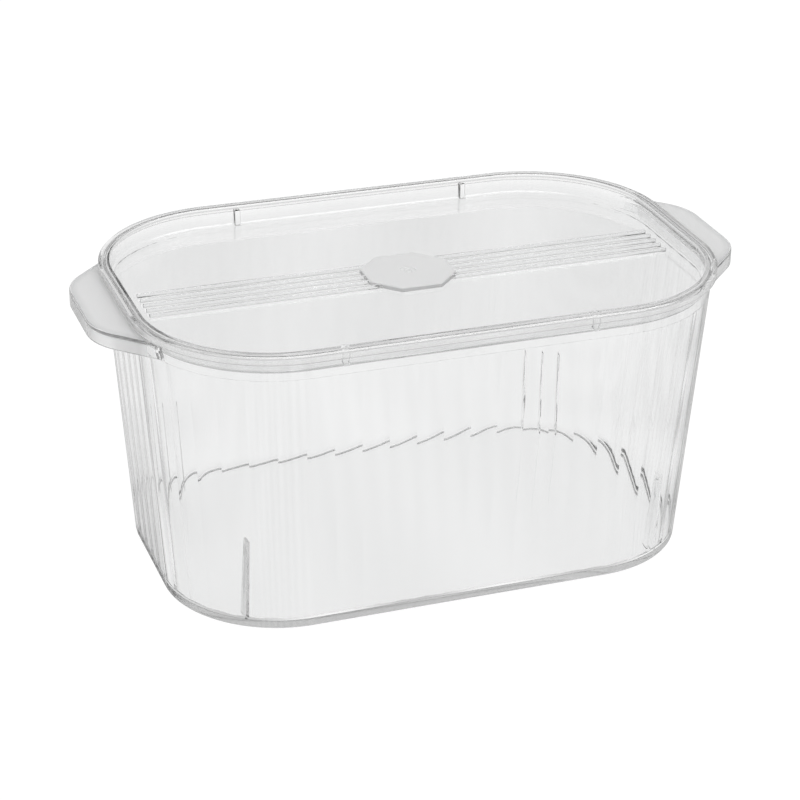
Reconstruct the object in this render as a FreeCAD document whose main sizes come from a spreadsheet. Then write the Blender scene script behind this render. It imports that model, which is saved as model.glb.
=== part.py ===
import FreeCAD, Part
import math
import os
import Sketcher

# Food storage container: a clear tapered bin with a handle at each end, and a
# lid that drops over its rim. Millimetres, +Z up, the length along X. The
# origin is the middle of the face that the bin stands on.

SIZES = {
    # the outside of the bin, at its base and at its rim
    "base_length": 273.5,
    "base_width": 172.3,
    "base_corner": 59.4,
    "rim_length": 295.6,
    "rim_width": 190.6,
    "rim_corner": 67.6,
    "bin_height": 149.0,
    "foot_round": 0.8,
    # the inside of the bin
    "bin_wall": 2.2,
    "floor_thickness": 2.5,
    "floor_round": 4.5,
    "flute_count": 60,
    "flute_depth": 0.35,
    "band_height": 12.0,
    "band_relief": 0.15,
    # the fins that stop one bin from wedging inside another
    "fin_place": 108.0,
    "fin_thickness": 2.2,
    "fin_depth": 5.5,
    "fin_height": 49.0,
    # the handle at each end
    "handle_reach": 20.5,
    "handle_flat": 57.4,
    "handle_corner": 30.0,
    "handle_drop": 2.8,
    "handle_height": 8.0,
    "handle_plate": 2.1,
    "handle_skirt": 2.0,
    "handle_round": 0.8,
    # the rim of the lid
    "seat_gap": 0.1,
    "skirt_gap": 0.5,
    "skirt_wall": 1.7,
    "skirt_height": 4.5,
    "ledge_thickness": 1.9,
    "ledge_round": 1.0,
    # the sunk panel of the lid
    "plug_gap": 0.5,
    "plug_wall": 1.3,
    "plug_inset": 0.9,
    "recess_depth": 9.8,
    "panel_thickness": 1.8,
    "panel_round": 1.2,
    # what stands on the panel
    "rib_count": 5,
    "rib_pitch": 6.3,
    "rib_width": 1.4,
    "rib_height": 2.0,
    "rib_reach": 136.3,
    "pad_width": 43.0,
    "pad_height": 2.0,
    "gate_diameter": 3.0,
    "gate_depth": 0.4,
    "guide_place": 63.0,
    "guide_width": 4.4,
    "guide_depth": 4.0,
    "guide_height": 8.3,
}

# heights and widths that follow from the sizes, as expressions on the sheet
HANDLE_TOP = "(dims.bin_height - dims.handle_drop)"
HANDLE_LOW = f"({HANDLE_TOP} - dims.handle_height)"
HANDLE_END = "(dims.rim_length / 2 + dims.handle_reach)"
FLUTE_TOP = "(dims.bin_height - dims.band_height)"
BAND_WALL = "(dims.bin_wall - dims.flute_depth - dims.band_relief)"
LEDGE_LOW = "(dims.bin_height + dims.seat_gap)"
LID_TOP = f"({LEDGE_LOW} + dims.ledge_thickness)"
SKIRT_LOW = f"({LID_TOP} - dims.skirt_height)"
PANEL_TOP = f"({LID_TOP} - dims.recess_depth)"
PANEL_LOW = f"({PANEL_TOP} - dims.panel_thickness)"
PLUG_STEP = f"(dims.plug_gap + {BAND_WALL})"
# how far the cutting shapes run past the rim, so that they leave no skin
OVERRUN = 1.0
# how far the guides reach into the plug wall that carries them
GUIDE_ROOT = 0.5
# the sides of the handles and of the lid's pad turn by twice this at each corner
HALF_CORNER = 22.5
# two heights closer than this are the same height
FIT = 1e-4

doc = FreeCAD.newDocument("food_storage_container")
dims = doc.addObject("Spreadsheet::Sheet", "dims")
for row, (name, value) in enumerate(SIZES.items(), 1):
    dims.set(f"A{row}", name)
    dims.set(f"B{row}", str(value))
    dims.setAlias(f"B{row}", name)
doc.recompute()


def size(name):
    """The value of one named size, in millimetres."""
    return float(getattr(dims, name))


def origin_plane(body, role):
    """One of a body's own origin planes."""
    return next(plane for plane in body.Origin.OriginFeatures if plane.Role == role)


def wall_outline(height, inset="0"):
    """Length, width and corner radius of the bin's outside at a height, moved inwards."""
    share = f"({height}) / dims.bin_height"
    length = f"(dims.base_length + (dims.rim_length - dims.base_length) * {share} - 2 * ({inset}))"
    width = f"(dims.base_width + (dims.rim_width - dims.base_width) * {share} - 2 * ({inset}))"
    corner = f"(dims.base_corner + (dims.rim_corner - dims.base_corner) * {share} - ({inset}))"
    return length, width, corner


def rim_outline(grow):
    """Length, width and corner radius of the bin's rim, moved outwards."""
    length = f"(dims.rim_length + 2 * ({grow}))"
    width = f"(dims.rim_width + 2 * ({grow}))"
    corner = f"(dims.rim_corner + ({grow}))"
    return length, width, corner


def new_sketch(body, name, height):
    """An empty sketch of a body, level, at a height."""
    sketch = body.newObject("Sketcher::SketchObject", name)
    sketch.AttachmentSupport = (origin_plane(body, "XY_Plane"), [""])
    sketch.MapMode = "FlatFace"
    sketch.setExpression("AttachmentOffset.Base.z", height)
    return sketch


def drive(sketch, kind, places, name, formula):
    """A named dimension of a sketch that follows a formula."""
    index = sketch.addConstraint(Sketcher.Constraint(kind, *places, doc_value(formula)))
    sketch.renameConstraint(index, name)
    sketch.setExpression(f"Constraints.{name}", formula)


def doc_value(formula):
    """What a formula on the sheet gives now, as a plain number."""
    found = dims.evalExpression(formula)
    return float(getattr(found, "Value", found))


def rounded_rectangle(body, name, outline, height):
    """A sketch of a rectangle with round corners about the middle."""
    length, width, corner = outline
    sketch = new_sketch(body, name, height)
    half_x, half_y, radius = doc_value(length) / 2, doc_value(width) / 2, doc_value(corner)
    flat_x, flat_y = half_x - radius, half_y - radius
    up = FreeCAD.Vector(0, 0, 1)
    corners = [(flat_x, flat_y, 0), (-flat_x, flat_y, 1), (-flat_x, -flat_y, 2), (flat_x, -flat_y, 3)]
    quarter = math.pi / 2
    arcs = []
    for centre_x, centre_y, turn in corners:
        circle = Part.Circle(FreeCAD.Vector(centre_x, centre_y, 0), up, radius)
        arcs.append(Part.ArcOfCircle(circle, turn * quarter, (turn + 1) * quarter))
    for index, arc in enumerate(arcs):
        following = arcs[(index + 1) % len(arcs)]
        sketch.addGeometry(arc, False)
        sketch.addGeometry(Part.LineSegment(arc.EndPoint, following.StartPoint), False)
    count = 2 * len(arcs)
    for index in range(count):
        joint = (index, 2, (index + 1) % count, 1)
        sketch.addConstraint(Sketcher.Constraint("Tangent", *joint))
    for line, direction in ((1, "Horizontal"), (3, "Vertical"), (5, "Horizontal"), (7, "Vertical")):
        sketch.addConstraint(Sketcher.Constraint(direction, line))
    for arc in (2, 4, 6):
        sketch.addConstraint(Sketcher.Constraint("Equal", 0, arc))
    sketch.addConstraint(Sketcher.Constraint("Symmetric", 0, 3, 4, 3, -1, 1))
    drive(sketch, "DistanceX", (5, 1, 5, 2), "flat_x", f"{length} - 2 * {corner}")
    drive(sketch, "DistanceY", (7, 1, 7, 2), "flat_y", f"{width} - 2 * {corner}")
    drive(sketch, "Radius", (0,), "corner", corner)
    return sketch


def eight_sided(body, name, side_point, end_point, height):
    """A sketch of eight straight sides, the same about both axes.

    side_point and end_point are the two corners in the first quarter, as formulas."""
    sketch = new_sketch(body, name, height)
    first = [doc_value(value) for value in side_point]
    second = [doc_value(value) for value in end_point]
    quarter = [first, second]
    signs = ((1, 1), (-1, 1), (-1, -1), (1, -1))
    points = []
    for turn, (sign_x, sign_y) in enumerate(signs):
        pair = quarter if turn % 2 == 0 else quarter[::-1]
        points += [FreeCAD.Vector(sign_x * x, sign_y * y, 0) for x, y in pair]
    count = len(points)
    for index, point in enumerate(points):
        sketch.addGeometry(Part.LineSegment(point, points[(index + 1) % count]), False)
    for index in range(count):
        sketch.addConstraint(Sketcher.Constraint("Coincident", index, 2, (index + 1) % count, 1))
    for line, mirror, axis in ((0, 3, -2), (1, 2, -2), (0, 7, -1), (1, 6, -1), (3, 4, -1), (2, 5, -1)):
        sketch.addConstraint(Sketcher.Constraint("Symmetric", line, 1, mirror, 1, axis))
    for line, point, words in ((0, side_point, "side"), (1, end_point, "end")):
        drive(sketch, "DistanceX", (-1, 1, line, 1), f"{words}_x", point[0])
        drive(sketch, "DistanceY", (-1, 1, line, 1), f"{words}_y", point[1])
    return sketch


def box_sketch(body, name, low, high, height):
    """A sketch of a plain rectangle between two corners, given as formulas."""
    sketch = new_sketch(body, name, height)
    low_x, low_y = (doc_value(value) for value in low)
    high_x, high_y = (doc_value(value) for value in high)
    ring = [(low_x, low_y), (high_x, low_y), (high_x, high_y), (low_x, high_y)]
    points = [FreeCAD.Vector(x, y, 0) for x, y in ring]
    for index, point in enumerate(points):
        sketch.addGeometry(Part.LineSegment(point, points[(index + 1) % len(points)]), False)
    for index in range(len(points)):
        sketch.addConstraint(Sketcher.Constraint("Coincident", index, 2, (index + 1) % len(points), 1))
    for line, direction in ((0, "Horizontal"), (1, "Vertical"), (2, "Horizontal"), (3, "Vertical")):
        sketch.addConstraint(Sketcher.Constraint(direction, line))
    drive(sketch, "DistanceX", (-1, 1, 1, 1), "high_x", high[0])
    drive(sketch, "DistanceY", (-1, 1, 2, 1), "high_y", high[1])
    drive(sketch, "DistanceX", (0, 1, 0, 2), "along_x", f"({high[0]}) - ({low[0]})")
    drive(sketch, "DistanceY", (1, 1, 1, 2), "along_y", f"({high[1]}) - ({low[1]})")
    return sketch


def pad(body, name, sketch, length):
    """Stands a sketch up by a length."""
    feature = body.newObject("PartDesign::Pad", name)
    feature.Profile = sketch
    feature.setExpression("Length", length)
    doc.recompute()
    return feature


def pocket_up(body, name, sketch, length):
    """Cuts upwards from a sketch by a length."""
    before = volume_of(body)
    feature = body.newObject("PartDesign::Pocket", name)
    feature.Profile = sketch
    feature.Reversed = True
    feature.setExpression("Length", length)
    doc.recompute()
    report_cut(body, name, before)
    return feature


def volume_of(body):
    """What a body's solid measures so far, nothing if it has none yet."""
    return 0.0 if body.Shape.isNull() else body.Shape.Volume


def report_cut(body, name, before):
    """Stops if a cut took nothing away."""
    if volume_of(body) > before - OVERRUN:
        raise RuntimeError(f"{name} cuts nothing")


def loft(body, name, low, high, kind="PartDesign::AdditiveLoft"):
    """Straight walls between two sketches, added or cut."""
    before = volume_of(body)
    feature = body.newObject(kind, name)
    feature.Profile = high
    feature.Sections = [low]
    feature.Ruled = True
    doc.recompute()
    if kind == "PartDesign::SubtractiveLoft":
        report_cut(body, name, before)
    return feature


def round_edges(body, name, base, radius, wanted):
    """Rounds the edges of a feature that a test picks."""
    picked = [f"Edge{index}" for index, edge in enumerate(base.Shape.Edges, 1) if wanted(edge)]
    feature = body.newObject("PartDesign::Fillet", name)
    feature.Base = (base, picked)
    feature.setExpression("Radius", radius)
    doc.recompute()
    return feature


def level_at(height):
    """A test for the edges that lie level at a height."""
    def wanted(edge):
        box = edge.BoundBox
        return abs(box.ZMin - height) + abs(box.ZMax - height) < FIT
    return wanted


def upright_at(distance):
    """A test for the upright edges that stand this far from the middle along X."""
    def wanted(edge):
        box = edge.BoundBox
        return box.ZMax - box.ZMin > FIT and abs(abs(box.XMin) - distance) < FIT
    return wanted


def tapered_body(name, inset, low, high):
    """A body with the bin's taper, moved inwards, between two heights."""
    body = doc.addObject("PartDesign::Body", name)
    base = rounded_rectangle(body, f"{name}_low", wall_outline(low, inset), low)
    top = rounded_rectangle(body, f"{name}_high", wall_outline(high, inset), high)
    loft(body, f"{name}_walls", base, top)
    return body


def handle_corners(inset):
    """The two corners of the handles' outline in the first quarter, moved inwards.

    The sides leave the flat end at an eighth of a turn and run on into the wall."""
    turn = f"tan({HALF_CORNER})"
    end_x = f"({HANDLE_END} - ({inset}))"
    end_y = f"(dims.handle_flat / 2 - ({inset}) * {turn})"
    inner_x = f"({HANDLE_END} - ({inset}) - dims.rim_corner + dims.handle_reach)"
    inner_y = f"({end_y} + dims.rim_corner - dims.handle_reach)"
    return (end_x, end_y), (inner_x, inner_y)


def handle_sketch(body, name, inset):
    """The outline of both handles as one plate, at the lower edge of their skirts."""
    end, inner = handle_corners(inset)
    return eight_sided(body, name, end, inner, HANDLE_LOW)


def make_outside():
    """The outside of the bin: both handles with their hollow undersides, and the tapered wall."""
    body = doc.addObject("PartDesign::Body", "bin_outside")
    outline = handle_sketch(body, "handle_outline", "0")
    pad(body, "handle_plates", outline, "dims.handle_height")
    grip = handle_sketch(body, "grip_outline", "dims.handle_skirt")
    hollow = pocket_up(body, "grip_hollows", grip, "dims.handle_height - dims.handle_plate")
    end_x = doc_value(HANDLE_END)
    grip_round = "dims.handle_corner - dims.handle_skirt"
    grip_ends = round_edges(body, "grip_ends", hollow, grip_round, upright_at(end_x - size("handle_skirt")))
    ends = round_edges(body, "handle_ends", grip_ends, "dims.handle_corner", upright_at(end_x))
    round_edges(body, "handle_edges", ends, "dims.handle_round", level_at(doc_value(HANDLE_TOP)))
    base = rounded_rectangle(body, "base", wall_outline("0"), "0")
    rim = rounded_rectangle(body, "rim", wall_outline("dims.bin_height"), "dims.bin_height")
    walls = loft(body, "walls", base, rim)
    round_edges(body, "foot", walls, "dims.foot_round", level_at(0.0))
    return body


def outline_place(outline, share):
    """The point and the outward direction at a share of the way round a rounded rectangle."""
    length, width, corner = outline
    flat_x, flat_y = length - 2 * corner, width - 2 * corner
    bend = math.pi / 2 * corner
    runs = [flat_x / 2, bend, flat_y, bend, flat_x, bend, flat_y, bend, flat_x / 2]
    left = share % 1.0 * sum(runs)
    turn = -math.pi / 2
    place = FreeCAD.Vector(0, -width / 2, 0)
    for index, run in enumerate(runs):
        step = min(left, run)
        ahead = FreeCAD.Vector(-math.sin(turn), math.cos(turn), 0)
        if index % 2:
            centre = place - FreeCAD.Vector(math.cos(turn), math.sin(turn), 0) * corner
            turn += step / corner
            place = centre + FreeCAD.Vector(math.cos(turn), math.sin(turn), 0) * corner
        else:
            place = place + ahead * step
        left -= step
        if left <= 0:
            break
    return place, FreeCAD.Vector(math.cos(turn), math.sin(turn), 0)


def fluted_wire(height):
    """One ring of flutes inside the bin's wall: shallow arcs whose edges point inwards."""
    outline = [doc_value(value) for value in wall_outline(str(height), "dims.bin_wall")]
    count = int(size("flute_count"))
    lift = FreeCAD.Vector(0, 0, height)
    arcs = []
    for index in range(count):
        start, _ = outline_place(outline, index / count)
        middle, outward = outline_place(outline, (index + 0.5) / count)
        finish, _ = outline_place(outline, (index + 1) / count)
        middle += outward * size("flute_depth")
        arcs.append(Part.Arc(start + lift, middle + lift, finish + lift).toShape())
    return Part.Wire(arcs)


def make_hollow():
    """The inside of the bin: fluted from the floor up, smooth for a band under the rim."""
    past_rim = f"(dims.bin_height + {OVERRUN})"
    smooth = tapered_body("smooth_hollow", BAND_WALL, "dims.floor_thickness", past_rim)
    floor = doc_value("dims.floor_thickness")
    round_edges(smooth, "floor_round", smooth.Tip, "dims.floor_round", level_at(floor))

    flute_top = doc_value(FLUTE_TOP)
    flutes = doc.addObject("Part::Feature", "flutes")
    flutes.Shape = Part.makeLoft([fluted_wire(0.0), fluted_wire(flute_top)], True, True)

    band = doc.addObject("Part::Box", "band")
    band.setExpression("Length", "dims.rim_length")
    band.setExpression("Width", "dims.rim_width")
    band.setExpression("Height", f"dims.band_height + 2 * {OVERRUN}")
    band.setExpression("Placement.Base.x", "-dims.rim_length / 2")
    band.setExpression("Placement.Base.y", "-dims.rim_width / 2")
    band.setExpression("Placement.Base.z", FLUTE_TOP)

    reach = doc.addObject("Part::Fuse", "reach")
    reach.Base = flutes
    reach.Tool = band
    hollow = doc.addObject("Part::Common", "hollow")
    hollow.Base = smooth
    hollow.Tool = reach
    return hollow


def make_fins():
    """Four upright fins inside the corners, as two slabs with the room between them taken out."""
    slabs = []
    for name, sign in (("left", -1), ("right", 1)):
        slab = doc.addObject("Part::Box", f"{name}_slab")
        slab.setExpression("Length", "dims.fin_thickness")
        slab.setExpression("Width", "dims.rim_width")
        slab.setExpression("Height", "dims.fin_height")
        slab.setExpression("Placement.Base.x", f"{sign} * dims.fin_place - dims.fin_thickness / 2")
        slab.setExpression("Placement.Base.y", "-dims.rim_width / 2")
        slabs.append(slab)
    both = doc.addObject("Part::MultiFuse", "slabs")
    both.Shapes = slabs
    room = tapered_body("room", "dims.bin_wall + dims.fin_depth", "0", "dims.bin_height")
    fins = doc.addObject("Part::Cut", "fins")
    fins.Base = both
    fins.Tool = room
    return fins


def make_bin():
    """The bin: its outside, less the hollow, with the fins left standing."""
    outside = make_outside()
    hollow = make_hollow()
    fins = make_fins()
    void = doc.addObject("Part::Cut", "void")
    void.Base = hollow
    void.Tool = fins
    piece = doc.addObject("Part::Cut", "bin_piece")
    piece.Base = outside
    piece.Tool = void
    piece.Label = "bin"
    doc.recompute()
    return piece


def make_rim_and_panel(body):
    """The lid's shell: a ledge with an outer skirt, and a panel sunk inside it."""
    skirt_grow = "(dims.skirt_gap + dims.skirt_wall)"
    outer = rounded_rectangle(body, "lid_outline", rim_outline(skirt_grow), SKIRT_LOW)
    rim = pad(body, "lid_rim", outer, "dims.skirt_height")
    top = doc_value(LID_TOP)
    round_edges(body, "rim_edge", rim, "dims.ledge_round", level_at(top))
    inner = rounded_rectangle(body, "skirt_inside", rim_outline("dims.skirt_gap"), SKIRT_LOW)
    pocket_up(body, "under_rim", inner, "dims.skirt_height - dims.ledge_thickness")

    plug_low = f"(-{PLUG_STEP} - dims.plug_inset)"
    low = rounded_rectangle(body, "plug_low", rim_outline(plug_low), PANEL_LOW)
    high = rounded_rectangle(body, "plug_high", rim_outline(f"-{PLUG_STEP}"), LID_TOP)
    plug = loft(body, "plug", low, high)
    floor = doc_value(PANEL_LOW)
    round_edges(body, "plug_edge", plug, "dims.panel_round", level_at(floor))

    recess_low = f"({plug_low} - dims.plug_wall)"
    panel = rounded_rectangle(body, "panel_outline", rim_outline(recess_low), PANEL_TOP)
    mouth = rounded_rectangle(body, "recess_mouth", rim_outline(f"-{PLUG_STEP} - dims.plug_wall"), LID_TOP)
    recess = loft(body, "recess", panel, mouth, "PartDesign::SubtractiveLoft")
    sunk = doc_value(PANEL_TOP)
    round_edges(body, "panel_edge", recess, "dims.panel_round", level_at(sunk))


def make_ribs(body):
    """The parallel ribs along the panel, which stop at the eight-sided pad."""
    first = "-(dims.rib_count - 1) / 2 * dims.rib_pitch"
    low = ("-dims.rib_reach", f"{first} - dims.rib_width / 2")
    high = ("dims.rib_reach", f"{first} + dims.rib_width / 2")
    sketch = box_sketch(body, "rib_outline", low, high, PANEL_TOP)
    rib = pad(body, "rib", sketch, "dims.rib_height")
    rows = body.newObject("PartDesign::LinearPattern", "ribs")
    rows.Originals = [rib]
    rows.Direction = (sketch, ["V_Axis"])
    rows.setExpression("Length", "(dims.rib_count - 1) * dims.rib_pitch")
    rows.setExpression("Occurrences", "dims.rib_count")
    body.Tip = rows
    doc.recompute()


def make_pad(body):
    """The eight-sided pad in the middle of the panel, with the mark of its moulding gate."""
    flat = "(dims.pad_width / 2)"
    short = f"({flat} * tan({HALF_CORNER}))"
    clearing = eight_sided(body, "pad_clearing", (flat, short), (short, flat), PANEL_TOP)
    pocket_up(body, "pad_room", clearing, "dims.rib_height")
    outline = eight_sided(body, "pad_outline", (flat, short), (short, flat), PANEL_TOP)
    pad(body, "pad", outline, "dims.pad_height")
    gate = new_sketch(body, "gate_outline", f"{PANEL_TOP} + dims.pad_height - dims.gate_depth")
    gate.addGeometry(Part.Circle(FreeCAD.Vector(), FreeCAD.Vector(0, 0, 1), size("gate_diameter") / 2), False)
    gate.addConstraint(Sketcher.Constraint("Coincident", 0, 3, -1, 1))
    drive(gate, "Diameter", (0,), "gate", "dims.gate_diameter")
    pocket_up(body, "gate", gate, "dims.gate_depth")


def make_guides(body):
    """The four small guides against the plug wall, which centre a bin stacked on the lid."""
    edge = f"(dims.rim_width / 2 - {PLUG_STEP} - dims.plug_wall)"
    low = ("dims.guide_place - dims.guide_width / 2", f"{edge} - dims.guide_depth")
    high = ("dims.guide_place + dims.guide_width / 2", f"{edge} + {GUIDE_ROOT}")
    sketch = box_sketch(body, "guide_outline", low, high, PANEL_TOP)
    guide = pad(body, "guide", sketch, "dims.guide_height")
    guides = body.newObject("PartDesign::MultiTransform", "guides")
    guides.Originals = [guide]
    mirrors = []
    for name, role in (("across", "YZ_Plane"), ("along", "XZ_Plane")):
        mirror = body.newObject("PartDesign::Mirrored", f"guides_{name}")
        mirror.MirrorPlane = (origin_plane(body, role), [""])
        mirrors.append(mirror)
    guides.Transformations = mirrors
    body.Tip = guides
    doc.recompute()


def make_lid():
    """The lid: its shell, ribs, pad and guides, moulded in one."""
    body = doc.addObject("PartDesign::Body", "lid_piece")
    make_rim_and_panel(body)
    make_ribs(body)
    make_pad(body)
    make_guides(body)
    body.Label = "lid"
    return body


pieces = [make_bin(), make_lid()]
doc.recompute()

for item in doc.Objects:
    if {"Invalid", "Error"} & set(item.State):
        raise RuntimeError(f"{item.Name} failed: {item.State}")
for piece in pieces:
    shape = piece.Shape
    if shape.isNull() or not shape.isValid() or len(shape.Solids) != 1:
        raise RuntimeError(f"{piece.Label} is not one valid solid")

os.makedirs("parts", exist_ok=True)
for piece in pieces:
    piece.Shape.exportStep(f"parts/{piece.Label}.step")
    box = piece.Shape.optimalBoundingBox(True, False)
    low = [round(value, 2) for value in (box.XMin, box.YMin, box.ZMin)]
    high = [round(value, 2) for value in (box.XMax, box.YMax, box.ZMax)]
    print(piece.Label, "from", low, "to", high, "volume", round(piece.Shape.Volume))
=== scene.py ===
# %% [markdown]
# # A clear food storage container
#
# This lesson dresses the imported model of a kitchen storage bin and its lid.
# Both are clear mouldings, so almost everything that the eye reads is an
# edge, a flute or a rounded corner that bends the light. The two pieces are
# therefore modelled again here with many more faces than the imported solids
# have, in the same frame, and given a clear and a frosted finish.

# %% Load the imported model
import math

import bmesh
import bpy
from mathutils import Matrix, Vector


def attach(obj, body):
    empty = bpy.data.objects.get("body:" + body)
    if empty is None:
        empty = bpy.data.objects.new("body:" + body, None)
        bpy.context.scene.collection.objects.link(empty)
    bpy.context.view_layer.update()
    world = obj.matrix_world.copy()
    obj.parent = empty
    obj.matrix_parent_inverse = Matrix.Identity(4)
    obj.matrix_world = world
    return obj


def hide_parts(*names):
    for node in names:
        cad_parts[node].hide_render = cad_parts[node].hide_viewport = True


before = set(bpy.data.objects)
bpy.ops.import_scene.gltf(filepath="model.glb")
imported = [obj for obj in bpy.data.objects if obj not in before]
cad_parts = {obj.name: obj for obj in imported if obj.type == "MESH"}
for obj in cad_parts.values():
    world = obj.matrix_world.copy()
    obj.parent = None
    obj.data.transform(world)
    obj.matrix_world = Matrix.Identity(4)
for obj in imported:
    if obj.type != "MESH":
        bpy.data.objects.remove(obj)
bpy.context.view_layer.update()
print("packed nodes:", sorted(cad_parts))

# %% [markdown]
# ## The measures of the bin and the lid
#
# A moulder's drawing is in millimetres, and so are the values here. Blender
# works in metres, so each place is made smaller by MM at the moment it is
# given to a vertex. The corners of an outline are round, and a wall that
# leans outwards has a different outline at each height.

# %% Measures of the bin's wall
MM = 0.001

BASE = {"length": 273.5, "width": 172.3, "corner": 59.4}
RIM = {"length": 295.6, "width": 190.6, "corner": 67.6}
BIN_HEIGHT = 149.0


def outline_at(height):
    """The outline of the bin's outside at a height."""
    share = height / BIN_HEIGHT
    return {key: BASE[key] + (RIM[key] - BASE[key]) * share for key in BASE}


print("half way up, the bin is", round(outline_at(BIN_HEIGHT / 2)["length"], 1), "mm long")

# %% [markdown]
# ## Walking round an outline
#
# Every wall of this object follows a rectangle with round corners. The
# helper below starts in the middle of the front side and walks a share of
# the way round. It gives the place and the direction that points outwards
# there, which is all that a ring of vertices needs.

# %% Places on a rounded rectangle
def walk(outline, inset, share):
    """The place and the outward direction at a share of the way round an outline."""
    length = outline["length"] - 2 * inset
    width = outline["width"] - 2 * inset
    corner = outline["corner"] - inset
    flat_x, flat_y = length - 2 * corner, width - 2 * corner
    bend = math.pi / 2 * corner
    runs = [flat_x / 2, bend, flat_y, bend, flat_x, bend, flat_y, bend, flat_x / 2]
    left = share % 1.0 * sum(runs)
    turn = -math.pi / 2
    place = Vector((0.0, -width / 2))
    for index, run in enumerate(runs):
        step = min(left, run)
        if index % 2:
            centre = place - Vector((math.cos(turn), math.sin(turn))) * corner
            turn += step / corner
            place = centre + Vector((math.cos(turn), math.sin(turn))) * corner
        else:
            place = place + Vector((-math.sin(turn), math.cos(turn))) * step
        left -= step
        if left <= 0:
            break
    return place, Vector((math.cos(turn), math.sin(turn)))


place, outward = walk(BASE, 0.0, 0.25)
print("a quarter of the way round the base:", [round(value, 1) for value in place])

# %% [markdown]
# ## Softening a profile
#
# Moulded plastic has no sharp edges, and in a clear piece each small round
# is a thin bright or dark line. A profile is drawn as a few corners, each
# with its own radius. The helper puts an arc in each corner, and a ring
# close to each end of the arc, which holds the shading of the flat beside it.

# %% Rounded corners in a profile
HOLD = 0.4
ARC_STEP = math.radians(9)


def soften(corners):
    """A profile of insets and heights, from corners that each give inset, height and radius."""
    profile = [corners[0][:2]]
    for before, corner, after in zip(corners, corners[1:], corners[2:]):
        here = Vector(corner[:2])
        back = (Vector(before[:2]) - here).normalized()
        ahead = (Vector(after[:2]) - here).normalized()
        half = back.angle(ahead) / 2
        reach = corner[2] / math.tan(half)
        if not corner[2]:
            profile += [tuple(here)]
            continue
        centre = here + (back + ahead).normalized() * corner[2] / math.sin(half)
        first = (here + back * reach - centre).normalized()
        last = (here + ahead * reach - centre).normalized()
        steps = max(2, math.ceil(first.angle(last) / ARC_STEP))
        profile.append(tuple(here + back * (reach + HOLD)))
        for step in range(steps + 1):
            profile.append(tuple(centre + first.slerp(last, step / steps) * corner[2]))
        profile.append(tuple(here + ahead * (reach + HOLD)))
    profile.append(corners[-1][:2])
    return profile


print("rings in one softened corner:", len(soften([(5, 0, 0), (0, 0, 1), (0, 5, 0)])) - 2)

# %% [markdown]
# ## Raising a wall ring by ring
#
# A wall could be lofted from curves, but then its faces can't be chosen.
# Here a filled circle is added with as many vertices as the wall has
# columns, its vertices are moved onto the first outline, and the face is
# extruded for each further outline. That leaves one closed shell.

# %% A shell from rings
def only(piece):
    """Makes one piece the active and only selected one."""
    bpy.ops.object.select_all(action="DESELECT")
    piece.select_set(True)
    bpy.context.view_layer.objects.active = piece


def set_places(ring, places):
    """Moves a ring of vertices to places given in millimetres."""
    for vertex, place in zip(ring, places):
        vertex.co = Vector(place) * MM


def shell(name, rings):
    """A closed shell through rings of places, from one end to the other."""
    columns = len(rings[0])
    bpy.ops.object.select_all(action="DESELECT")
    bpy.ops.mesh.primitive_circle_add(vertices=columns, radius=1.0, fill_type="NGON")
    piece = bpy.context.object
    piece.name = piece.data.name = name
    bpy.ops.object.mode_set(mode="EDIT")
    bpy.ops.mesh.select_all(action="SELECT")
    set_places(bmesh.from_edit_mesh(piece.data).verts[:], rings[0])
    for places in rings[1:]:
        bpy.ops.mesh.extrude_region()
        set_places(bmesh.from_edit_mesh(piece.data).verts[:][-columns:], places)
    bmesh.update_edit_mesh(piece.data)
    bpy.ops.mesh.select_all(action="SELECT")
    bpy.ops.mesh.normals_make_consistent(inside=False)
    bpy.ops.object.mode_set(mode="OBJECT")
    return piece


# %% [markdown]
# ## Joining and cutting
#
# A moulding is one lump of plastic, and light shows it: two closed shells
# that only overlap would have a glassy face between them. Each part of a
# moulding is therefore joined to the rest or cut from it with a Boolean
# modifier, which is applied at once.

# %% Booleans and a report
def combine(piece, other, operation):
    """Joins a second closed shell to a piece or cuts it from it, and uses it up."""
    only(piece)
    step = piece.modifiers.new("combine", "BOOLEAN")
    step.operation = operation
    step.solver = "MANIFOLD"
    step.object = other
    bpy.ops.object.modifier_apply(modifier=step.name)
    bpy.data.objects.remove(other)


def report(piece):
    """Prints how large a piece is and whether its surface is closed."""
    mesh = bmesh.new()
    mesh.from_mesh(piece.data)
    open_edges = sum(1 for edge in mesh.edges if len(edge.link_faces) != 2)
    triangles = sum(len(face.verts) - 2 for face in mesh.faces)
    volume = mesh.calc_volume(signed=True) / MM ** 3
    mesh.free()
    print(piece.name, triangles, "triangles,", open_edges, "open edges,", round(volume), "cubic mm")


# %% [markdown]
# ## The outside of the bin
#
# The bin leans outwards from its base to its rim. Its foot is rounded where
# it meets the floor, and its rim has a soft edge. The wall is drawn in
# several rings so that each one follows its own outline exactly.

# %% The outside as a solid block
COLUMNS = 480
WALL_STEP = 15.0
BIN_WALL = 2.2
FOOT_ROUND = 0.8
SOFT_EDGE = 0.3
CAP_RING = 6.0


def bin_ring(inset, height, flute=None):
    """One ring of the bin's wall, moved inwards, and fluted where a flute is given."""
    outline = outline_at(height)
    depths = [inset if flute is None else max(inset, flute(column)) for column in range(COLUMNS)]
    places = []
    for column, depth in enumerate(depths):
        place, outward = walk(outline, BIN_WALL, column / COLUMNS)
        place = place + outward * (BIN_WALL - depth)
        places.append((place.x, place.y, height))
    return places


def with_steps(profile):
    """A profile with more rings wherever two of them are far apart in height."""
    steps = []
    for low, high in zip(profile, profile[1:]):
        count = max(1, round(abs(high[1] - low[1]) / WALL_STEP))
        steps += [tuple(Vector(low).lerp(Vector(high), step / count)) for step in range(count)]
    return steps + [profile[-1]]


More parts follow.
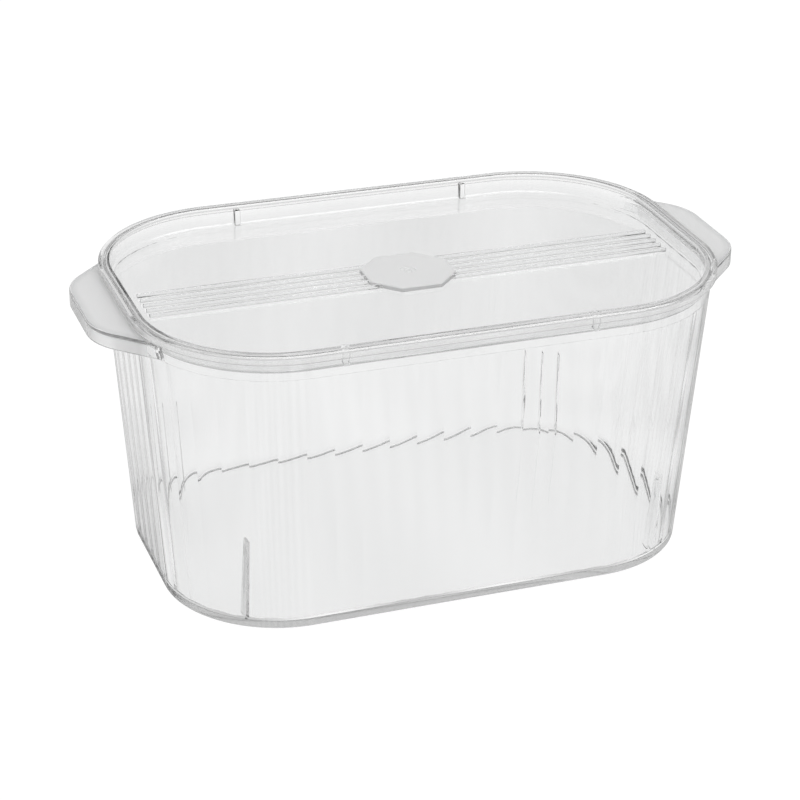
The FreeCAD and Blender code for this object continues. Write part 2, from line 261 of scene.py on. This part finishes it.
outside = soften([
    (CAP_RING, 0.0, 0.0),
    (0.0, 0.0, FOOT_ROUND),
    (0.0, BIN_HEIGHT, SOFT_EDGE),
    (CAP_RING, BIN_HEIGHT, 0.0),
])
clear_bin = shell("clear_bin", [bin_ring(inset, height) for inset, height in with_steps(outside)])
report(clear_bin)

# %% [markdown]
# ## The two handles
#
# Each handle is a plate with a skirt round its outer edge, so that fingers
# can hook under it. Seen from above, both handles share one eight-sided
# outline that runs through the bin, and the hollow of the bin later cuts
# away what lies between them. The outline's end corners are wide curves.

# %% Handle plates with their grips
HANDLE_END = 168.3
HANDLE_FLAT = 57.4
HANDLE_CORNER = 30.0
HANDLE_INNER = 47.1
HANDLE_TOP = 146.2
HANDLE_LOW = 138.2
HANDLE_ROUND = 0.8
HANDLE_PLATE = 2.1
HANDLE_SKIRT = 2.0
GRIP_ROUND = 0.6
CORNER_STEPS = 16
HALF_CORNER = math.radians(22.5)


def handle_ring(inset, height):
    """The eight-sided outline of both handles with its four end corners rounded."""
    corner = HANDLE_CORNER - inset
    end = HANDLE_END - inset
    flat = HANDLE_FLAT / 2 - inset * math.tan(HALF_CORNER)
    centre_y = flat - corner * math.tan(HALF_CORNER)
    quarter = []
    for step in range(CORNER_STEPS + 1):
        angle = math.pi / 4 * step / CORNER_STEPS
        quarter.append((end - corner + corner * math.cos(angle), centre_y + corner * math.sin(angle)))
    quarter.append((end - HANDLE_INNER, flat + HANDLE_INNER))
    half = quarter + [(-x, y) for x, y in reversed(quarter)]
    return [(x, y, height) for x, y in half + [(-x, -y) for x, y in half]]


plate = soften([
    (CAP_RING, HANDLE_LOW, 0.0),
    (0.0, HANDLE_LOW, SOFT_EDGE),
    (0.0, HANDLE_TOP, HANDLE_ROUND),
    (CAP_RING, HANDLE_TOP, 0.0),
])
handles = shell("handles", [handle_ring(inset, height) for inset, height in plate])
grip_top = HANDLE_TOP - HANDLE_PLATE
grip = soften([
    (HANDLE_SKIRT, HANDLE_LOW - HOLD, 0.0),
    (HANDLE_SKIRT, grip_top, GRIP_ROUND),
    (CAP_RING, grip_top, 0.0),
])
grips = shell("grips", [handle_ring(inset, height) for inset, height in grip])
combine(handles, grips, "DIFFERENCE")
report(handles)
combine(clear_bin, handles, "UNION")
report(clear_bin)

# %% [markdown]
# ## The fluted inside
#
# The inner wall is a ring of sixty shallow flutes. Each one is hollow
# towards the outside, so two neighbours meet in an upright edge that points
# into the bin. They make the wall a row of weak lenses, and those draw the
# stepped line that is seen where the back wall meets the floor. Under the
# rim there is a plain band. The floor is rounded up into the wall.

# %% The hollow of the bin
FLUTES = 60
FLUTE_DEPTH = 0.35
FLUTE_TOP = 137.0
BAND_WALL = 1.7
BAND_STEP = 0.15
ABOVE_RIM = 1.0
FLOOR_THICKNESS = 2.5
FLOOR_ROUND = 4.5
STEPS_PER_FLUTE = COLUMNS // FLUTES


def flute(column):
    """How thick the fluted wall is at a column."""
    across = column % STEPS_PER_FLUTE / STEPS_PER_FLUTE * 2 - 1
    return BIN_WALL - FLUTE_DEPTH * (1 - across ** 2)


fluted = soften([
    (BAND_WALL + FLOOR_ROUND + CAP_RING, FLOOR_THICKNESS, 0.0),
    (BAND_WALL, FLOOR_THICKNESS, FLOOR_ROUND),
    (BAND_WALL, FLUTE_TOP, 0.0),
])
band = soften([
    (BAND_WALL, FLUTE_TOP + BAND_STEP, 0.0),
    (BAND_WALL, BIN_HEIGHT - SOFT_EDGE, SOFT_EDGE),
    (BAND_WALL - SOFT_EDGE, BIN_HEIGHT, 0.0),
    (BAND_WALL - SOFT_EDGE, BIN_HEIGHT + ABOVE_RIM, 0.0),
])
rings = [bin_ring(inset, height, flute) for inset, height in with_steps(fluted)]
rings += [bin_ring(inset, height) for inset, height in band]
hollow = shell("hollow", rings)
report(hollow)

# %% [markdown]
# ## The nesting fins
#
# Four upright fins stand inside the corners. A second bin that is pushed
# into this one stops on their tops before the walls wedge. Each fin is a
# cube whose inner side is moved onto an outline further in, deeper at the
# floor than at the top, with its edges bevelled. The fins are cut out of
# the hollow, so the hollow leaves them.

# %% Fins inside the corners
FIN_PLACE = 108.0
FIN_THICKNESS = 1.3
FIN_DEPTH_HIGH = 3.8
FIN_DEPTH_LOW = 8.4
FIN_HEIGHT = 49.0
FIN_ROUND = 0.45
FIN_ROOT = -1.0
BEVEL_STEPS = 4


def side_y(x, height, inset):
    """How far the curved corner of the bin lies from the middle plane, at a place along it."""
    outline = outline_at(height)
    corner = outline["corner"] - inset
    along = abs(x) - (outline["length"] / 2 - outline["corner"])
    return outline["width"] / 2 - outline["corner"] + math.sqrt(corner ** 2 - along ** 2)


def bevel(piece, radius):
    """Rounds every edge of a piece."""
    only(piece)
    step = piece.modifiers.new("soft edges", "BEVEL")
    step.width = radius * MM
    step.segments = BEVEL_STEPS
    bpy.ops.object.modifier_apply(modifier=step.name)


def make_fin(side_x, side):
    """One fin, from inside the wall to its free edge."""
    bpy.ops.object.select_all(action="DESELECT")
    bpy.ops.mesh.primitive_cube_add(size=2.0)
    fin = bpy.context.object
    for vertex in fin.data.vertices:
        x = side_x * FIN_PLACE + vertex.co.x * FIN_THICKNESS / 2
        height, depth = (FIN_HEIGHT, FIN_DEPTH_HIGH) if vertex.co.z > 0 else (0.0, FIN_DEPTH_LOW)
        inset = BIN_WALL + depth if vertex.co.y * side < 0 else FIN_ROOT
        vertex.co = Vector((x, side * side_y(x, height, inset), height)) * MM
    bevel(fin, FIN_ROUND)
    return fin


for side_x in (-1, 1):
    for side in (-1, 1):
        combine(hollow, make_fin(side_x, side), "DIFFERENCE")
report(hollow)
combine(clear_bin, hollow, "DIFFERENCE")
report(clear_bin)

# %% [markdown]
# ## The lid's shell
#
# The lid has a flat ledge that rests on the rim, a skirt that hangs outside
# it, and a plug that drops inside it and carries the sunk panel. Its whole
# section is one profile: along the underside of the panel, up the plug, out
# under the ledge, round the skirt, back over the top and down to the panel.

# %% The lid from one profile
LID_TOP = 151.0
LEDGE_LOW = 149.1
LEDGE_ROUND = 1.5
SKIRT_LOW = 146.5
SKIRT_IN = -0.5
SKIRT_OUT = -2.2
PANEL_TOP = 141.2
PANEL_LOW = 140.1
PANEL_ROUND = 1.2
PANEL_OUTER_ROUND = 2.2
PLUG_TOP = 2.2
PLUG_BOTTOM = 3.1
PLUG_WALL = 1.3
INNER_ROUND = 0.4


def lid_ring(inset, height):
    """One ring of the lid, moved inwards from the outline of the bin's rim."""
    places = []
    for column in range(COLUMNS):
        place, outward = walk(RIM, 0.0, column / COLUMNS)
        place = place - outward * inset
        places.append((place.x, place.y, height))
    return places


plug_lean = (PLUG_BOTTOM - PLUG_TOP) / (LID_TOP - PANEL_LOW)
plug_under_ledge = PLUG_TOP + plug_lean * (LID_TOP - LEDGE_LOW)
lid_profile = soften([
    (PLUG_BOTTOM + CAP_RING, PANEL_LOW, 0.0),
    (PLUG_BOTTOM, PANEL_LOW, PANEL_OUTER_ROUND),
    (plug_under_ledge, LEDGE_LOW, INNER_ROUND),
    (SKIRT_IN, LEDGE_LOW, INNER_ROUND),
    (SKIRT_IN, SKIRT_LOW, SOFT_EDGE),
    (SKIRT_OUT, SKIRT_LOW, SOFT_EDGE),
    (SKIRT_OUT, LID_TOP, LEDGE_ROUND),
    (PLUG_TOP + PLUG_WALL, LID_TOP, INNER_ROUND),
    (PLUG_BOTTOM + PLUG_WALL, PANEL_TOP, PANEL_ROUND),
    (PLUG_BOTTOM + PLUG_WALL + CAP_RING, PANEL_TOP, 0.0),
])
clear_lid = shell("clear_lid", [lid_ring(inset, height) for inset, height in lid_profile])
report(clear_lid)

# %% [markdown]
# ## Ribs, pad and guides
#
# Five low ribs stiffen the panel and stop at an eight-sided pad, where the
# hot plastic came in through a gate that left a small round mark. Four
# guides on the long walls of the recess centre a bin that is stacked on the
# lid. A block with soft edges stands for each, and sinks a little into the
# panel or the wall so that the two join. The gate's mark is a shallow dish
# with a small ring in it, drawn as a profile and turned into rings.

# %% What stands on the panel
RIB_COUNT = 5
RIB_PITCH = 6.3
RIB_WIDTH = 1.8
RIB_DRAFT = 0.25
RIB_TOP = 143.2
RIB_REACH = 136.3
RIB_START = 16.0
RIB_ROUND = 0.2
PAD_WIDTH = 43.0
PAD_LENGTH = 46.0
PAD_ROUND = 0.6
PAD_DRAFT = 0.4
PAD_TOP = 143.21
GUIDE_ROUND = 0.35
GUIDE_PLACE = 63.0
GUIDE_WIDTH = 3.0
GUIDE_TOP = 149.5
GUIDE_DEPTH = 4.0
SINK = 0.6


def block(low, high, radius, draft=0.0):
    """A block between two corners with soft edges, and a top that is narrower by a draft on each side."""
    bpy.ops.object.select_all(action="DESELECT")
    bpy.ops.mesh.primitive_cube_add(size=2.0)
    piece = bpy.context.object
    for vertex in piece.data.vertices:
        corner = [high[axis] if vertex.co[axis] > 0 else low[axis] for axis in range(3)]
        if vertex.co.z > 0:
            corner[1] -= math.copysign(draft, vertex.co.y)
        vertex.co = Vector(corner) * MM
    bevel(piece, radius)
    return piece


def pad_ring(inset, height):
    """An eight-sided outline with its flats along the lid's sides, a little longer than it is wide."""
    radius = (PAD_WIDTH / 2 - inset) / math.cos(HALF_CORNER)
    longer = (PAD_LENGTH - PAD_WIDTH) / 2
    turns = [HALF_CORNER + math.pi / 4 * side for side in range(8)]
    corners = [Vector((math.cos(turn), math.sin(turn))) * radius for turn in turns]
    return [(corner.x + math.copysign(longer, corner.x), corner.y, height) for corner in corners]


pad_profile = soften([
    (0.0, PANEL_TOP - SINK, 0.0),
    (PAD_DRAFT, PAD_TOP, PAD_ROUND),
    (CAP_RING, PAD_TOP, 0.0),
])
pad = shell("pad", [pad_ring(inset, height) for inset, height in pad_profile])
combine(clear_lid, pad, "UNION")
for rib in range(RIB_COUNT):
    y = (rib - (RIB_COUNT - 1) / 2) * RIB_PITCH
    for side in (-1, 1):
        ends = sorted((side * RIB_REACH, side * RIB_START))
        low = (ends[0], y - RIB_WIDTH / 2, PANEL_TOP - SINK)
        high = (ends[1], y + RIB_WIDTH / 2, RIB_TOP)
        combine(clear_lid, block(low, high, RIB_ROUND, RIB_DRAFT), "UNION")
guide_out = RIM["width"] / 2 - PLUG_TOP - PLUG_WALL
for side_x in (-1, 1):
    for side in (-1, 1):
        ends = sorted((side * (guide_out - GUIDE_DEPTH), side * (guide_out + SINK)))
        low = (side_x * GUIDE_PLACE - GUIDE_WIDTH / 2, ends[0], PANEL_TOP - SINK)
        high = (side_x * GUIDE_PLACE + GUIDE_WIDTH / 2, ends[1], GUIDE_TOP)
        combine(clear_lid, block(low, high, GUIDE_ROUND), "UNION")
report(clear_lid)

# %% The mark of the gate
GATE = [(4.6, 0.1), (4.0, 0.0), (3.7, -0.4), (2.2, -0.5), (1.8, -0.1), (1.4, -0.55), (0.6, -0.6)]
GATE_SIDES = 48


def gate_ring(radius, height):
    """A circle round the middle of the pad."""
    turns = [math.tau * side / GATE_SIDES for side in range(GATE_SIDES)]
    return [(radius * math.cos(turn), radius * math.sin(turn), PAD_TOP + height) for turn in turns]


combine(clear_lid, shell("gate", [gate_ring(radius, height) for radius, height in GATE]), "DIFFERENCE")
report(clear_lid)

# %% [markdown]
# ## Shading
#
# The faces of the walls are small enough to be shaded smooth. The edges
# between two flutes turn by only ten degrees, so they are picked as
# sharp: upright edges of the inner wall whose two faces meet at an angle.
# The Booleans leave long thin triangles, and a corner that leans towards
# whichever side has more of them would break a highlight into dashes. So
# each corner's normal is the mean of the directions that its smooth
# neighbours face, and a direction counts once, however many faces have it.

# %% Smooth faces and kept edges
CUSP_TURN = math.radians(6)
SMOOTH_TURN = math.radians(28)
SAME_TURN = math.radians(0.5)
SLIVER = 0.001
UPRIGHT = 0.9


def keep_cusps(piece):
    """Marks the upright edges between the flutes as sharp."""
    only(piece)
    bpy.ops.object.mode_set(mode="EDIT")
    bpy.ops.mesh.select_mode(type="EDGE")
    bpy.ops.mesh.select_all(action="DESELECT")
    mesh = bmesh.from_edit_mesh(piece.data)
    count = 0
    for edge in mesh.edges:
        run = edge.verts[1].co - edge.verts[0].co
        upright = abs(run.z) > UPRIGHT * run.length
        if upright and len(edge.link_faces) == 2 and edge.calc_face_angle() > CUSP_TURN:
            edge.select = True
            count += 1
    bmesh.update_edit_mesh(piece.data)
    bpy.ops.mesh.mark_sharp()
    bpy.ops.object.mode_set(mode="OBJECT")
    print(piece.name, "kept", count, "upright edges")


def fans_of(vertex):
    """The groups of faces round a vertex that no sharp edge parts."""
    left = set(vertex.link_faces)
    while left:
        fan, queue = [], [left.pop()]
        while queue:
            face = queue.pop()
            fan.append(face)
            for edge in vertex.link_edges:
                if edge.smooth and face in edge.link_faces[:]:
                    ahead = left.intersection(edge.link_faces)
                    left -= ahead
                    queue += ahead
        yield fan


def even_normals(piece):
    """Shades each corner by the mean of the different directions that its smooth neighbours face."""
    mesh = bmesh.new()
    mesh.from_mesh(piece.data)
    shaded = {}
    for vertex in mesh.verts:
        for fan in fans_of(vertex):
            clear = [face for face in fan if face.calc_area() > SLIVER * MM ** 2] or fan
            ways = []
            for face in sorted(clear, key=lambda face: face.index):
                if all(face.normal.angle(way, 0.0) > SAME_TURN for way in ways):
                    ways.append(face.normal.copy())
            mean = sum(ways, Vector()).normalized()
            shaded.update({(vertex.index, face.index): mean for face in fan})
    mesh.free()
    corners = [(vertex, face.index) for face in piece.data.polygons for vertex in face.vertices]
    piece.data.normals_split_custom_set([shaded[corner] for corner in corners])
    print(piece.name, "has", len(corners), "shaded corners")


keep_cusps(clear_bin)
for piece in (clear_bin, clear_lid):
    only(piece)
    bpy.ops.object.shade_smooth_by_angle(angle=SMOOTH_TURN, keep_sharp_edges=True)
    even_normals(piece)

# %% [markdown]
# ## Shader maths as Python
#
# A finish is easier to read as a sum than as a picture of wires. The class
# below wraps one output of a node, and adds a Math node for each operation
# on it. Every other node comes from one method that takes the node's type,
# its settings and what goes into its sockets.

# %% A small shader language
class Value:
    """One output of a shader node, with arithmetic."""

    def __init__(self, maker, socket):
        self.maker = maker
        self.socket = socket

    def math(self, operation, *others):
        """A Math node of this value and others."""
        return self.maker.node("ShaderNodeMath", {"operation": operation}, {
            index: value for index, value in enumerate((self, *others))})

    def __add__(self, other):
        return self.math("ADD", other)

    def __sub__(self, other):
        return self.math("SUBTRACT", other)

    def __rsub__(self, other):
        return (self * -1.0).math("ADD", other)

    def __mul__(self, other):
        return self.math("MULTIPLY", other)

    def __gt__(self, other):
        return self.math("GREATER_THAN", other)

    def __lt__(self, other):
        return self.math("LESS_THAN", other)

    __radd__ = __add__
    __rmul__ = __mul__


class Finish:
    """The node tree of one material or world."""

    def __init__(self, owner):
        owner.use_nodes = True
        self.tree = owner.node_tree
        self.tree.nodes.clear()

    def node(self, kind, settings=None, inputs=None, output=0):
        """Any node, from its type, its settings and the values or links of its sockets."""
        made = self.tree.nodes.new(kind)
        for name, value in (settings or {}).items():
            setattr(made, name, value)
        for name, value in (inputs or {}).items():
            if isinstance(value, Value):
                self.tree.links.new(value.socket, made.inputs[name])
            else:
                made.inputs[name].default_value = value
        return Value(self, made.outputs[output])

    def ramp(self, value, low, high, smooth=True):
        """A value that rises from nothing to one between two others."""
        kind = "SMOOTHSTEP" if smooth else "LINEAR"
        return self.node("ShaderNodeMapRange", {"interpolation_type": kind}, {
            "Value": value, "From Min": low, "From Max": high})

    def blend(self, share, low, high):
        """A colour between two others."""
        return self.node("ShaderNodeMix", {"data_type": "RGBA"}, {0: share, 6: low, 7: high}, output=2)

    def finish(self, shader, kind="ShaderNodeOutputMaterial", inside=None):
        """Connects the last shader, and one for the inside of the body, to the output."""
        out = self.tree.nodes.new(kind)
        self.tree.links.new(shader.socket, out.inputs["Surface"])
        if inside:
            self.tree.links.new(inside.socket, out.inputs["Volume"])


# %% [markdown]
# ## Clear and frosted plastic
#
# The walls are a clear styrene plastic: glassy, with a hint of grey at each
# face and a little more where the light runs lengthwise through a wall. The
# thin rim has a lighter tint, which is painted light that lifts its tone.
# The moulds of the handles' tops and of the pad were blasted, so there the
# same plastic is frosted, and the frost has painted shade near its edge.
# The insides of the grips are satin. Masks in Object coordinates say where
# each finish is. Frost is only on the outer side of a face: light that is
# inside the plastic meets a clear face there, so it isn't caught in dark dots.

# %% The two finishes
CLEAR_TINT = (0.952, 0.954, 0.954, 1.0)
# Painted light: a lighter tint round the rim lifts its tone.
RIM_PAINTED_LIGHT_TINT = (0.985, 0.985, 0.985, 1.0)
RIM_FROM = 143.0
RIM_TO = 147.0
FROST_TINT = (0.80, 0.802, 0.802, 1.0)
# Painted shade: the darker frost colour near the edge of the frost.
FROST_PAINTED_EDGE_SHADE = (0.69, 0.692, 0.695, 1.0)
BLACK = (0.0, 0.0, 0.0, 1.0)
WHITE = (1.0, 1.0, 1.0, 1.0)
BIN_ABSORPTION = 1.4
LID_ABSORPTION = 0.4
PLASTIC_IOR = 1.5
CLEAR_ROUGHNESS = 0.015
SATIN_ROUGHNESS = 0.3
FROST_ROUGHNESS = 0.5
FROST_CLEARNESS = 0.15
FROST_SOFTNESS = 0.3
EDGE_SHADE_FADE = 4.5
PAD_EDGE_SHADE_FADE = (-1.0, 2.0)
SATIN_FROM = 0.6
ON_TOP = 0.05
BESIDE_PAD = 0.03
ABOVE_PANEL = 0.1
GRAIN = 900.0
GRAIN_HEIGHT = 0.2
GRAIN_STRENGTH = 0.25


def plastic(name, blasted, absorption):
    """Clear plastic with a frosted top, painted shade along the edge of the frost and a satin inside, as
    three masks say.
    """
    material = bpy.data.materials.new(name)
    finish = Finish(material)
    place = finish.node("ShaderNodeTexCoord", output="Object")
    axes = finish.node("ShaderNodeSeparateXYZ", inputs={"Vector": place})
    x, y, z = (Value(finish, socket) * (1.0 / MM) for socket in axes.socket.node.outputs)
    frost, outside_painted_shade, satin = blasted(finish, x, y, z)
    grain = finish.node("ShaderNodeTexNoise", inputs={"Vector": place, "Scale": GRAIN, "Detail": 2.0})
    bumps = finish.node("ShaderNodeBump", inputs={
        "Height": grain, "Strength": GRAIN_STRENGTH, "Distance": GRAIN_HEIGHT * MM})
    # Painted shade: the frost darkens towards its edge.
    frost_tint_with_painted_shade = finish.blend(outside_painted_shade, FROST_PAINTED_EDGE_SHADE, FROST_TINT)
    # Round the rim the tint turns lighter, as painted light.
    tint_with_painted_rim_light = finish.blend(finish.ramp(z, RIM_FROM, RIM_TO), CLEAR_TINT, RIM_PAINTED_LIGHT_TINT)
    clear = finish.node("ShaderNodeBsdfPrincipled", inputs={
        "Base Color": tint_with_painted_rim_light, "Roughness": satin * SATIN_ROUGHNESS + CLEAR_ROUGHNESS,
        "IOR": PLASTIC_IOR, "Transmission Weight": 1.0})
    frosted = finish.node("ShaderNodeBsdfPrincipled", inputs={
        "Base Color": frost_tint_with_painted_shade, "Roughness": FROST_ROUGHNESS, "IOR": PLASTIC_IOR,
        "Transmission Weight": FROST_CLEARNESS, "Normal": bumps})
    outer = 1.0 - finish.node("ShaderNodeNewGeometry", output="Backfacing")
    skin = finish.node("ShaderNodeMixShader", inputs={0: frost * outer, 1: clear, 2: frosted})
    depth = finish.node("ShaderNodeVolumeAbsorption", inputs={"Color": BLACK, "Density": absorption})
    finish.finish(skin, inside=depth)
    return material


def handle_finish(finish, x, y, z):
    """The tops of the handles up to their rounded edge, a fade of painted shade in from that edge, and the
    inside of their grips.
    """
    end, side = x.math("ABSOLUTE"), y.math("ABSOLUTE")
    beside_x = end - (HANDLE_END - HANDLE_CORNER)
    beside_y = side - (HANDLE_FLAT / 2 - HANDLE_CORNER * math.tan(HALF_CORNER))
    beside_y = beside_y.math("MAXIMUM", 0.0)
    in_bend = beside_y.math("MINIMUM", beside_x)
    bend = (beside_x * beside_x + in_bend * in_bend).math("SQRT")
    from_edge = HANDLE_CORNER - bend - (beside_y - in_bend) * math.sqrt(0.5)
    outside = end > RIM["length"] / 2 - BAND_WALL
    top = (z > HANDLE_TOP - ON_TOP) * (z < HANDLE_TOP + ON_TOP)
    start, full = HANDLE_ROUND * (1 - FROST_SOFTNESS), HANDLE_ROUND * (1 + FROST_SOFTNESS)
    frost = finish.ramp(from_edge, start, full) * top * outside
    under = (z < HANDLE_TOP - HANDLE_PLATE / 2) * (z > HANDLE_LOW)
    satin = (from_edge > HANDLE_SKIRT * SATIN_FROM) * under * outside
    # The second mask fades the painted edge shade out away from the edge.
    return frost, finish.ramp(from_edge, HANDLE_ROUND, HANDLE_ROUND + EDGE_SHADE_FADE), satin


def pad_finish(finish, x, y, z):
    """The top and the sloped sides of the pad with its gate mark, and painted shade near the pad's edge."""
    long, short = x.math("ABSOLUTE") - (PAD_LENGTH - PAD_WIDTH) / 2, y.math("ABSOLUTE")
    reach = long.math("MAXIMUM", short).math("MAXIMUM", (long + short) * math.sqrt(0.5))
    slope = PAD_DRAFT / (PAD_TOP - PANEL_TOP + SINK)
    beside = reach + (z - (PANEL_TOP - SINK)) * slope
    frost = (beside < PAD_WIDTH / 2 + BESIDE_PAD) * (z > PANEL_TOP + ABOVE_PANEL) * (z < PAD_TOP + ON_TOP)
    # The second mask fades the painted shade out away from the pad's edge.
    return frost, finish.ramp(PAD_WIDTH / 2 - reach, *PAD_EDGE_SHADE_FADE), frost


bin_plastic = plastic("clear plastic of the bin", handle_finish, BIN_ABSORPTION)
lid_plastic = plastic("clear plastic of the lid", pad_finish, LID_ABSORPTION)
for piece, material in ((clear_bin, bin_plastic), (clear_lid, lid_plastic)):
    piece.data.materials.clear()
    piece.data.materials.append(material)

# %% [markdown]
# ## Riding on the imported model
#
# Each piece replaces the imported node of the same part, and rides on the
# only body that the object has.

# %% Bodies and nodes
for piece, node, slot in ((clear_bin, "bin", "bin_plastic"), (clear_lid, "lid", "lid_plastic")):
    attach(piece, "root")
    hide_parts(node)

# %% [markdown]
# ## The studio
#
# Clear things show what is behind them and what is around them. A white
# floor runs far back and is what the camera sees, straight on or through
# the walls. What the plastic mirrors is a dimmer room with a bright soft
# box above and a row of strip lights, so that its faces stand out in grey.
# Light that bounces inside a wall before it leaves comes from all over the
# room. It is dimmer, and on the floor it varies in stripes, which the flutes
# draw out into upright streaks. The Light Path node tells these kinds of
# ray apart. The floor is like a polished table: it lets the mirrored rays
# pass into that room, and keeps the object's soft shadow.

# %% Kinds of ray
INSIDE_LOSS = 0.15


def ray_kinds(finish):
    """Masks for rays that come straight, through plastic, off it, and through it after a bounce."""
    rays = finish.node("ShaderNodeLightPath")
    kind = {socket.name: Value(finish, socket) for socket in rays.socket.node.outputs}
    straight, through = kind["Is Camera Ray"], kind["Is Transmission Ray"]
    bounced = through * (kind["Glossy Depth"] > 0.5)  # the depth is a whole number
    return straight, through, kind["Is Glossy Ray"] * (1.0 - through), bounced


# %% The floor
FLOOR_SIZE = 8.0
FLOOR_DROP = 0.0002
FLOOR_SHADE = 0.12
FLOOR_SEEN = 0.94
FLOOR_SOFT = 0.60
FLOOR_THROUGH = 0.975
FLOOR_EVEN = 0.9
STRIPE_PITCH = 70.0
STRIPE_DEPTH = 0.22

bpy.ops.object.select_all(action="DESELECT")
bpy.ops.mesh.primitive_plane_add(size=FLOOR_SIZE, location=(0.0, 0.0, -FLOOR_DROP))
floor = bpy.context.object
floor.name = "floor"
floor_material = bpy.data.materials.new("white floor")
finish = Finish(floor_material)
straight, through, mirrored, bounced = ray_kinds(finish)
seen = straight.math("MAXIMUM", through)
matt = finish.node("ShaderNodeBsdfDiffuse", inputs={"Color": (FLOOR_SHADE, FLOOR_SHADE, FLOOR_SHADE, 1.0)})
lift = seen * (FLOOR_SEEN - FLOOR_SOFT) + FLOOR_SOFT
spot = finish.node("ShaderNodeTexCoord", output="Object")
spots = finish.node("ShaderNodeSeparateXYZ", inputs={"Vector": spot})
stripes = (spots * STRIPE_PITCH).math("SINE") * STRIPE_DEPTH
kept = 1.0 + bounced * (stripes - INSIDE_LOSS)
glow = finish.node("ShaderNodeEmission", inputs={"Strength": lift * kept})
shaded = finish.node("ShaderNodeAddShader", inputs={0: matt, 1: glow})
even = finish.node("ShaderNodeEmission", inputs={"Strength": kept * FLOOR_THROUGH})
white = finish.node("ShaderNodeMixShader", inputs={0: through * FLOOR_EVEN, 1: shaded, 2: even})
polish = finish.node("ShaderNodeBsdfTransparent")
finish.finish(finish.node("ShaderNodeMixShader", inputs={0: mirrored, 1: white, 2: polish}))
floor.data.materials.append(floor_material)

# %% The world
BACKDROP = 0.88
CEILING = 0.62
CEILING_FROM = 0.5
CEILING_TO = 0.8
TABLE = 0.60
ROOM = 0.24
ROOM_FROM = 0.3
ROOM_TO = 0.5
SIDES = 0.35
SIDES_FROM = 0.3
SIDES_TO = 0.7
SOFT_BOX = 4.0
SOFT_BOX_WAY = Vector((0.25, -0.30, 0.92)).normalized()
SOFT_BOX_FROM = 0.75
SOFT_BOX_TO = 0.85
STRIPS = 0.24
STRIP_PITCH = 60.0

world = bpy.data.worlds.new("studio")
bpy.context.scene.world = world
finish = Finish(world)
_, through, mirrored, bounced = ray_kinds(finish)
direction = finish.node("ShaderNodeTexCoord", output="Generated")
axes = finish.node("ShaderNodeSeparateXYZ", inputs={"Vector": direction})
across, along, up = (Value(finish, socket) for socket in axes.socket.node.outputs)
toward = finish.node("ShaderNodeVectorMath", {"operation": "DOT_PRODUCT"}, {
    0: direction, 1: SOFT_BOX_WAY}, output="Value")
backdrop = BACKDROP - finish.ramp(up, CEILING_FROM, CEILING_TO) * (BACKDROP - CEILING)
strips = ((across - along) * STRIP_PITCH).math("SINE") * STRIPS
aside = finish.ramp(across.math("ABSOLUTE"), SIDES_FROM, SIDES_TO)
table = TABLE - aside * (TABLE * SIDES) + strips * (1.0 - aside)
above = finish.ramp(up, ROOM_FROM, ROOM_TO)
soft_box = finish.ramp(toward, SOFT_BOX_FROM, SOFT_BOX_TO) * SOFT_BOX
room = table + above * (ROOM - table) + soft_box
plain = 1.0 - through - mirrored
kept = 1.0 - bounced * INSIDE_LOSS
level = plain + through * backdrop * kept + mirrored * room
light = finish.node("ShaderNodeBackground", inputs={"Color": WHITE, "Strength": level})
finish.finish(light, "ShaderNodeOutputWorld")

# %% [markdown]
# ## The camera
#
# The camera stands where the photographer did: in front, to the left and
# above, with a long lens, and turned by less than a degree about its axis.
# Light that is caught inside the walls needs many bounces before it leaves.

# %% The photographer's view
EYE = Vector((-386.6, -1060.3, 620.1)) * MM
TARGET = Vector((-3.89, -1.51, 71.91)) * MM
LENS = 109.76
ROLL = math.radians(-0.74)
BOUNCES = 64

lens = bpy.data.cameras.new("camera")
lens.lens = LENS
lens.sensor_width = 36.0
lens.sensor_fit = "HORIZONTAL"
camera = bpy.data.objects.new("camera", lens)
bpy.context.scene.collection.objects.link(camera)
back = (EYE - TARGET).normalized()
right = Vector((0.0, 0.0, 1.0)).cross(back).normalized()
upward = back.cross(right)
turned_right = right * math.cos(ROLL) - upward * math.sin(ROLL)
turned_up = upward * math.cos(ROLL) + right * math.sin(ROLL)
frame_axes = Matrix((turned_right, turned_up, back)).transposed()
camera.matrix_world = Matrix.Translation(EYE) @ frame_axes.to_4x4()
bpy.context.scene.camera = camera
bpy.context.scene.view_settings.view_transform = "Standard"
for limit in ("max_bounces", "transmission_bounces", "glossy_bounces"):
    setattr(bpy.context.scene.cycles, limit, BOUNCES)
